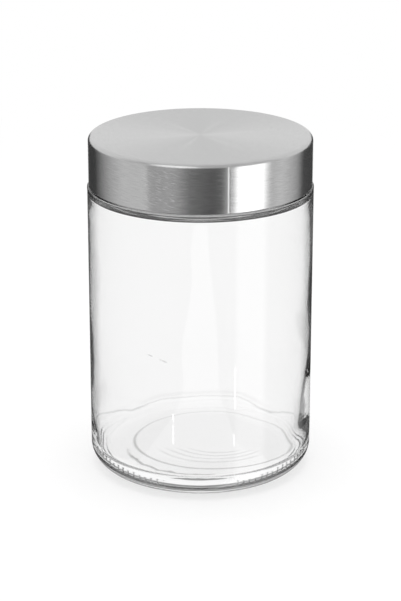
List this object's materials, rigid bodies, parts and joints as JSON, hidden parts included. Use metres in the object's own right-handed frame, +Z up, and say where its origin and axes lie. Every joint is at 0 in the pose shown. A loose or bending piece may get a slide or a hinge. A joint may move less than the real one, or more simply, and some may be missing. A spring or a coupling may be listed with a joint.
{
  "type": "glass storage jar with lid",
  "caption": "Empty, straight-sided clear glass storage jar with a rounded heel and a thick, slightly pushed-up base, closed by a flat brushed steel lid.",
  "frame": {"origin": "middle of the base, on the surface that the jar stands on", "axes": "+Z up the jar's axis to the lid; the pieces are turned about Z, so X and Y are level and free to choose"},
  "size_m": [0.11, 0.11, 0.168],
  "materials": {
    "clear_glass": "clear, colourless soda-lime glass with a smooth outside and a slightly uneven inside",
    "brushed_steel_sheet": "stainless steel, brushed in circles on the flat top and round the skirt"
  },
  "bodies": {
    "root": {"jar": "clear_glass", "lid": "brushed_steel_sheet"}
  },
  "joints": []
}
